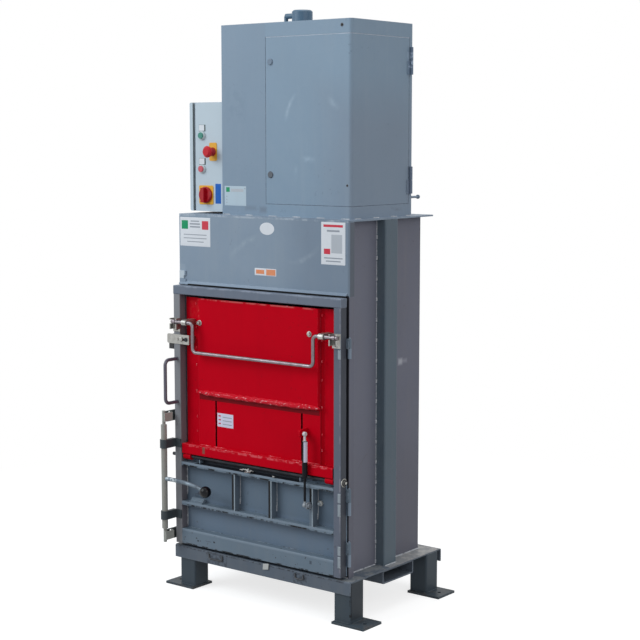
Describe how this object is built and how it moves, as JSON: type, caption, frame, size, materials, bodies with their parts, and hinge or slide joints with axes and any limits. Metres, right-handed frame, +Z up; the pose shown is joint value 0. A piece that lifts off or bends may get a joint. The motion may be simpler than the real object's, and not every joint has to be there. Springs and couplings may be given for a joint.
{
  "type": "recycling baler",
  "caption": "Mill-size vertical recycling baler with red drop gate, ribbed lower door, hydraulic press and power-pack cabinet.",
  "frame": {"origin": "on the floor, midway between the four anchor holes of the foot plates", "axes": "+Z up, +Y to the rear, +X to the right seen from the loading side"},
  "size_m": [0.87, 0.6, 1.995],
  "materials": {
    "blue_grey_paint": "satin, worn",
    "body_grey_paint": "satin, worn",
    "red_paint": "satin, chipped edges",
    "zinc": "zinc plated, dull",
    "chrome_rod": "polished",
    "dark_paint": "gloss",
    "black_plastic": "gloss",
    "box_grey": "satin",
    "yellow_plate": "matte",
    "green_plastic": "gloss",
    "red_plastic": "gloss",
    "tank_paint": "satin",
    "motor_cast": "painted",
    "valve_aluminium": "machined",
    "hose_rubber": "matte"
  },
  "bodies": {
    "frame": {"cabinet_hood": "blue_grey_paint", "bed_tray": "body_grey_paint", "leg_front_left": "body_grey_paint", "leg_front_right": "body_grey_paint", "leg_rear_left": "body_grey_paint", "leg_rear_right": "body_grey_paint", "upright_left": "body_grey_paint", "upright_right": "body_grey_paint", "side_wall_left": "body_grey_paint", "side_wall_right": "body_grey_paint", "side_stiffeners": "body_grey_paint", "back_wall": "body_grey_paint", "head_panel": "body_grey_paint", "top_plate": "body_grey_paint", "frame_hinges": "body_grey_paint", "lock_arms": "body_grey_paint", "strap_clips": "zinc", "cylinder_barrel": "dark_paint", "interlock_switch": "black_plastic", "control_box": "box_grey", "control_plates": "yellow_plate", "oil_tank": "tank_paint", "pump_motor": "motor_cast", "valve_block": "valve_aluminium", "oil_hoses": "hose_rubber"},
    "main_door": {"door_post_left": "body_grey_paint", "door_post_right": "body_grey_paint", "door_top_rail": "body_grey_paint", "door_bottom_rail": "body_grey_paint", "door_skin": "body_grey_paint", "door_sill_rail": "body_grey_paint", "door_mid_rail": "body_grey_paint", "door_ribs": "body_grey_paint", "door_hinges": "body_grey_paint", "grab_handle": "body_grey_paint", "bar_catches": "zinc", "lock_brackets": "body_grey_paint", "gate_pivot": "zinc"},
    "gate": {"gate_panel": "red_paint", "gate_plate": "red_paint", "gate_flange": "red_paint", "strut_bracket": "red_paint", "bar_bearings": "zinc", "interlock_tag": "zinc"},
    "latch_bar": {"latch_bar": "zinc"},
    "lock_bar": {"lock_tube": "zinc", "lock_lever": "zinc", "lock_knob": "black_plastic"},
    "strut_rod": {"strut_rod": "chrome_rod"},
    "strut_tube": {"strut_tube": "dark_paint"},
    "cabinet_door": {"cabinet_door": "blue_grey_paint"},
    "cabinet_lock_upper": {"cabinet_lock_upper": "valve_aluminium"},
    "cabinet_lock_lower": {"cabinet_lock_lower": "valve_aluminium"},
    "box_lid": {"box_lid": "box_grey"},
    "start_button": {"start_button": "green_plastic"},
    "stop_button": {"stop_button": "red_plastic"},
    "emergency_stop": {"emergency_stop": "red_plastic"},
    "isolator_knob": {"isolator_knob": "red_plastic"},
    "platen": {"platen": "body_grey_paint", "piston_rod": "chrome_rod"}
  },
  "joints": [
    {"name": "main_door", "type": "hinge", "parent": "frame", "child": "main_door", "pos_m": [0.351, -0.2285, 0.6], "axis": [0, 0, 1], "range_deg": [0, 110]},
    {"name": "gate", "type": "hinge", "parent": "main_door", "child": "gate", "pos_m": [-0.021, -0.2485, 0.47], "axis": [1, 0, 0], "range_deg": [0, 65]},
    {"name": "latch_bar", "type": "hinge", "parent": "gate", "child": "latch_bar", "pos_m": [-0.021, -0.2775, 0.941], "axis": [1, 0, 0], "range_deg": [-150, 10]},
    {"name": "lock_bar", "type": "hinge", "parent": "main_door", "child": "lock_bar", "pos_m": [-0.395, -0.3075, 0.4], "axis": [0, 0, 1], "range_deg": [-90, 10]},
    {"name": "strut_rod", "type": "hinge", "parent": "main_door", "child": "strut_rod", "pos_m": [0.205, -0.2755, 0.381], "axis": [1, 0, 0], "range_deg": [0, 43.4]},
    {"name": "strut_tube", "type": "slide", "parent": "strut_rod", "child": "strut_tube", "axis": [0, 0, -1], "range_m": [0, 0.0636]},
    {"name": "cabinet_door", "type": "hinge", "parent": "frame", "child": "cabinet_door", "pos_m": [0.319, 0.1525, 1.6], "axis": [0, 0, 1], "range_deg": [0, 110]},
    {"name": "cabinet_lock_upper", "type": "hinge", "parent": "cabinet_door", "child": "cabinet_lock_upper", "pos_m": [-0.022, -0.1715, 1.818], "axis": [0, -1, 0], "range_deg": [0, 90]},
    {"name": "cabinet_lock_lower", "type": "hinge", "parent": "cabinet_door", "child": "cabinet_lock_lower", "pos_m": [-0.022, -0.1715, 1.448], "axis": [0, -1, 0], "range_deg": [0, 90]},
    {"name": "box_lid", "type": "hinge", "parent": "frame", "child": "box_lid", "pos_m": [-0.3855, 0.1255, 1.5], "axis": [0, 0, -1], "range_deg": [0, 110]},
    {"name": "start_button", "type": "slide", "parent": "frame", "child": "start_button", "axis": [0, 1, 0], "range_m": [0, 0.004], "stiffness_N_per_m": 600},
    {"name": "stop_button", "type": "slide", "parent": "frame", "child": "stop_button", "axis": [0, 1, 0], "range_m": [0, 0.004], "stiffness_N_per_m": 600},
    {"name": "emergency_stop", "type": "slide", "parent": "frame", "child": "emergency_stop", "axis": [0, 1, 0], "range_m": [0, 0.006], "stiffness_N_per_m": 800},
    {"name": "isolator_knob", "type": "hinge", "parent": "frame", "child": "isolator_knob", "pos_m": [-0.317, -0.1635, 1.374], "axis": [0, 1, 0], "range_deg": [0, 90]},
    {"name": "platen", "type": "slide", "parent": "frame", "child": "platen", "axis": [0, 0, -1], "range_m": [0, 0.585]}
  ],
  "couplings": [
    {"joint": "strut_rod", "follows": "gate", "ratio": 0.6598},
    {"joint": "strut_tube", "follows": "gate", "m_per_rad": 0.05566}
  ]
}
